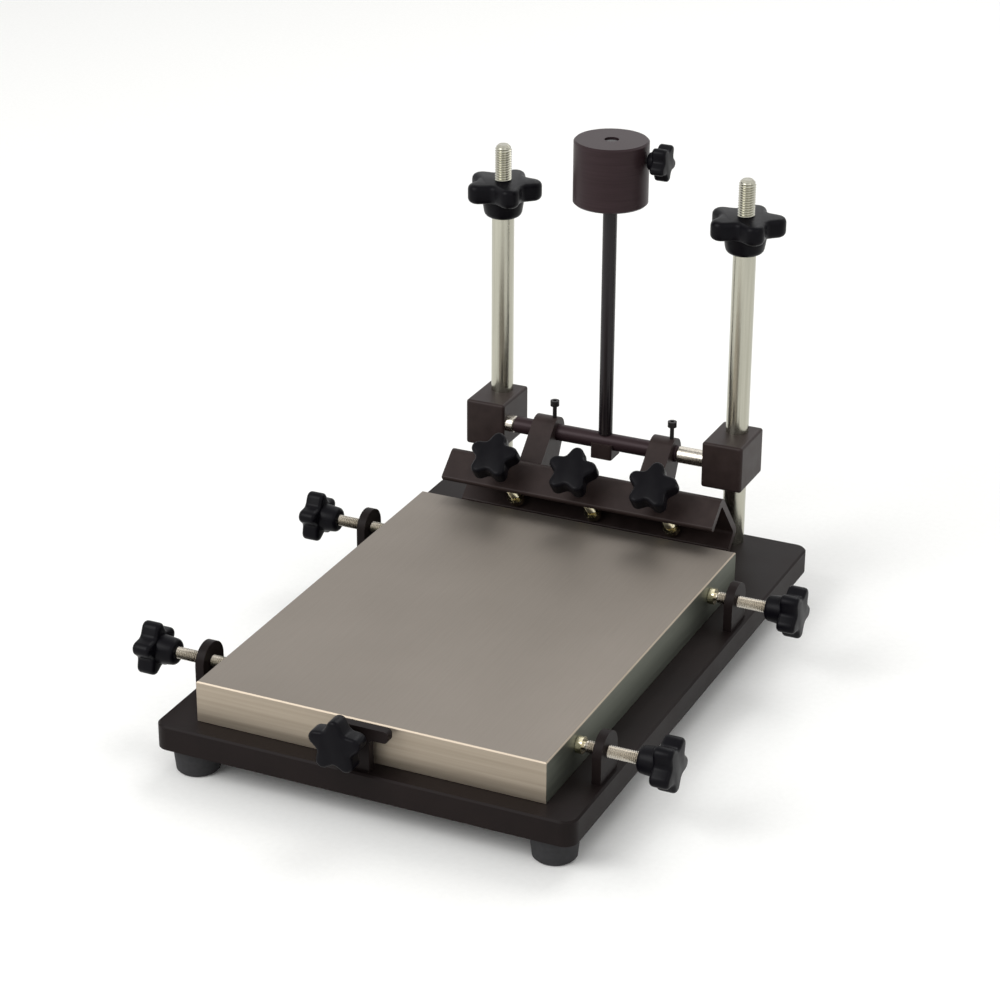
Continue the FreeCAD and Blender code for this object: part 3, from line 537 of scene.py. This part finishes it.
# The two columns are round steel bar, drawn and polished, so faint lines run up them. They
# stand in bores in the base and have an M12 thread at the top, for the large star knobs that
# stop the carriage.
polished, tree, shader, place = finish("polished_steel", Metallic=1.0)
drawn = add_node(tree, "ShaderNodeMapping", {"Vector": place, "Scale": (1.0, 1.0, 0.02)}).outputs[0]
lines = add_node(tree, "ShaderNodeTexNoise",
                 {"Vector": drawn, "Scale": 1 / (1.4 * millimetre), "Detail": 2.0}).outputs["Fac"]
colour = add_node(tree, "ShaderNodeMix", {0: lines, 6: linear("9e9c8f"), 7: linear("c3c1b3")},
                  data_type="RGBA").outputs[2]
gloss = add_node(tree, "ShaderNodeMapRange", {"Value": lines, "To Min": 0.16, "To Max": 0.28}).outputs[0]
wire(tree, shader, Base_Color=colour, Roughness=gloss)

column_bar = threaded_tree("polished_column", polished)
column_radius = 8
shoulder_gap = 0.3
m12 = {"Plain Radius": column_radius, "Radius": 6, "Pitch": 1.75, "Depth": 0.95, "Chamfer": 1.5}
for hand in ("left", "right"):
    point, way = axis_of(hand + "_column_knob_turn", 1)
    start, end, reach = along("column_" + hand, point, way)
    lengths = {"Plain Length": -shoulder_gap - start, "Length": end + shoulder_gap}
    grown("column_%s_bar" % hand, column_bar, dict(m12, **lengths),
          "base", ["column_" + hand], turn=laid(point, way, start))

# The slide blocks, swing arms, saddle and frame clamp are machined steel, blacked and oiled.
# They look brown-black, a little lighter than the enamel, with a faint cloudy bloom.
oiled, tree, shader, place = finish("oiled_blacked_steel", Metallic=0.1, Specular_IOR_Level=0.14)
cloud = add_node(tree, "ShaderNodeTexNoise",
                 {"Vector": place, "Scale": 1 / (9 * millimetre), "Detail": 5.0}).outputs["Fac"]
grain = add_node(tree, "ShaderNodeTexNoise",
                 {"Vector": place, "Scale": 1 / (0.8 * millimetre), "Detail": 2.0}).outputs["Fac"]
colour = add_node(tree, "ShaderNodeMix", {0: cloud, 6: linear("241c1b"), 7: linear("372d2b")},
                  data_type="RGBA").outputs[2]
gloss = add_node(tree, "ShaderNodeMapRange", {"Value": cloud, "To Min": 0.34, "To Max": 0.5}).outputs[0]
relief = add_node(tree, "ShaderNodeBump",
                  {"Height": grain, "Strength": 1.0, "Distance": 0.008 * millimetre}).outputs[0]
wire(tree, shader, Base_Color=colour, Roughness=gloss, Normal=relief)
dress(oiled, "slide_block_left", "slide_block_right", "swing_arm_left", "swing_arm_right",
      "frame_clamp", "rod_saddle")

# The counterweight and the hinge shaft are browned steel: oiled and heated until they turn
# brown, with a faint red cast, a soft highlight along them and fine turning marks round them.
browned, tree, shader, place = finish("browned_steel", Metallic=0.2, Specular_IOR_Level=0.15)
turned = add_node(tree, "ShaderNodeMapping", {"Vector": place, "Scale": (0.04, 0.04, 1.0)}).outputs[0]
grooves = add_node(tree, "ShaderNodeTexNoise",
                   {"Vector": turned, "Scale": 1 / (1.1 * millimetre), "Detail": 2.0}).outputs["Fac"]
colour = add_node(tree, "ShaderNodeMix", {0: grooves, 6: linear("281c1e"), 7: linear("35282b")},
                  data_type="RGBA").outputs[2]
gloss = add_node(tree, "ShaderNodeMapRange", {"Value": grooves, "To Min": 0.34, "To Max": 0.44}).outputs[0]
relief = add_node(tree, "ShaderNodeBump",
                  {"Height": grooves, "Strength": 1.0, "Distance": 0.008 * millimetre}).outputs[0]
wire(tree, shader, Base_Color=colour, Roughness=gloss, Normal=relief)
dress(browned, "counterweight", "hinge_shaft")

# The weight's rod is drawn steel bar, blacked and oiled. Its thin lower end passes through the
# shaft into the saddle. It is nearly black, with a sharp light line.
blacked, tree, shader, place = finish("blacked_steel", Metallic=0.2, Specular_IOR_Level=0.3)
drawn = add_node(tree, "ShaderNodeMapping", {"Vector": place, "Scale": (1.0, 1.0, 0.02)}).outputs[0]
lines = add_node(tree, "ShaderNodeTexNoise",
                 {"Vector": drawn, "Scale": 1 / (1.2 * millimetre), "Detail": 2.0}).outputs["Fac"]
colour = add_node(tree, "ShaderNodeMix", {0: lines, 6: linear("131012"), 7: linear("231d20")},
                  data_type="RGBA").outputs[2]
gloss = add_node(tree, "ShaderNodeMapRange", {"Value": lines, "To Min": 0.14, "To Max": 0.24}).outputs[0]
wire(tree, shader, Base_Color=colour, Roughness=gloss)
dress(blacked, "weight_rod")

# The camera stands where the photographer stood, solved from the press's straight edges.
# Its picture is 1000 pixels square, and the picture's middle is a few pixels off centre.
camera_azimuth = math.radians(24.825)
camera_elevation = math.radians(24.572)
camera_roll = math.radians(0.213)
camera_distance = 2.020
camera_target = Vector((-0.0658, 0.1319, 0.0653))
sensor_width = 36.0
picture_width = 1000.0
focal_pixels = 2830.5
picture_middle = (494.6, 500.4)

back = Vector((math.sin(camera_azimuth) * math.cos(camera_elevation),
               -math.cos(camera_azimuth) * math.cos(camera_elevation), math.sin(camera_elevation)))
right = (-back).cross(Vector((0, 0, 1))).normalized()
above = right.cross(-back)
rolled_right = right * math.cos(camera_roll) + above * math.sin(camera_roll)
rolled_up = above * math.cos(camera_roll) - right * math.sin(camera_roll)
camera_data = bpy.data.cameras.new("camera")
camera_data.lens = focal_pixels * sensor_width / picture_width
camera_data.sensor_width = sensor_width
camera_data.shift_x = (picture_width / 2 - picture_middle[0]) / picture_width
camera_data.shift_y = (picture_middle[1] - picture_width / 2) / picture_width
camera = bpy.data.objects.new("camera", camera_data)
bpy.context.collection.objects.link(camera)
turn = Matrix((rolled_right, rolled_up, back)).transposed().to_4x4()
camera.matrix_world = Matrix.Translation(camera_target + back * camera_distance) @ turn
bpy.context.scene.camera = camera

# The floor is a plain white sheet, with a faint fibre in it.
# It keeps the shadow of the press.
floor_half = 6.0
floor_mesh = bpy.data.meshes.new("floor")
floor_mesh.from_pydata([(-floor_half, -floor_half, 0), (floor_half, -floor_half, 0),
                        (floor_half, floor_half, 0), (-floor_half, floor_half, 0)], [], [(0, 1, 2, 3)])
floor = bpy.data.objects.new("floor", floor_mesh)
bpy.context.collection.objects.link(floor)
paper, tree, shader, place = finish("white_paper", Roughness=0.9)
fibre = add_node(tree, "ShaderNodeTexNoise",
                 {"Vector": place, "Scale": 1 / (4 * millimetre), "Detail": 2.0}).outputs["Fac"]
colour = add_node(tree, "ShaderNodeMix", {0: fibre, 6: linear("f6f6f4"), 7: linear("fdfdfb")},
                  data_type="RGBA").outputs[2]
wire(tree, shader, Base_Color=colour)
floor_mesh.materials.append(paper)

# Three large soft lamps and a white surround light the press. The key lamp stands in front on
# the left, so the right side lies in soft shade. The camera and the reflections see the
# surround at full white, and it lights the press with less.
lamp_size = 1.6
surround_light = 0.6
for name, spot, power in (("key_light", (-1.3, -1.9, 1.9), 46.0), ("fill_light", (1.9, -1.2, 1.8), 7.0),
                          ("back_light", (0.2, 1.8, 2.2), 24.0)):
    light_data = bpy.data.lights.new(name, "AREA")
    light_data.size = lamp_size
    light_data.energy = power
    light = bpy.data.objects.new(name, light_data)
    light.location = spot
    light.rotation_euler = (-Vector(spot)).to_track_quat("-Z", "Y").to_euler()
    bpy.context.collection.objects.link(light)

world = bpy.data.worlds.new("studio")
bpy.context.scene.world = world
world.use_nodes = True
tree = world.node_tree
ray = add_node(tree, "ShaderNodeLightPath").outputs
seen = add_node(tree, "ShaderNodeMath", {0: ray["Is Camera Ray"], 1: ray["Is Glossy Ray"]},
                operation="MAXIMUM").outputs[0]
seen = add_node(tree, "ShaderNodeMath", {0: seen, 1: ray["Is Transmission Ray"]},
                operation="MAXIMUM").outputs[0]
strength = add_node(tree, "ShaderNodeMapRange", {"Value": seen, "To Min": surround_light}).outputs[0]
surround = tree.nodes["Background"]
surround.inputs["Color"].default_value = linear("ffffff")
tree.links.new(strength, surround.inputs["Strength"])
bpy.context.scene.view_settings.view_transform = "Standard"
